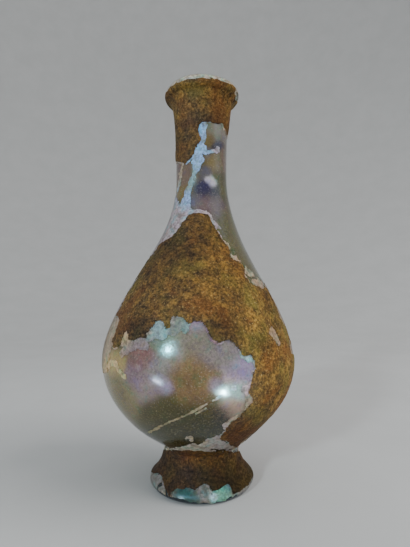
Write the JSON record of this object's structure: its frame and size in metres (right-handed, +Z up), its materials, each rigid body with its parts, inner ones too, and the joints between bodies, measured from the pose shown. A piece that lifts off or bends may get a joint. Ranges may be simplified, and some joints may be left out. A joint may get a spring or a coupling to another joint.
{
  "type": "roman glass unguentarium",
  "caption": "Free-blown glass ointment flask: pear-shaped hollow body, cylindrical neck, rolled rim and flared foot with a hollow underside, weathered and crusted.",
  "frame": {"origin": "on the surface that the flask stands on, under the middle of the belly's widest level; the neck's and foot's shared axis lies 1.7 mm to +X of it", "axes": "+Z up along the neck, -Y towards the side that the picture shows, +X to its right"},
  "size_m": [0.0796, 0.0796, 0.168],
  "materials": {
    "weathered_glass": "olive-yellow glass with an ochre-brown weathering crust over most of it, thin iridescent film where it is bare"
  },
  "bodies": {
    "root": {"flask": "weathered_glass"}
  },
  "joints": []
}
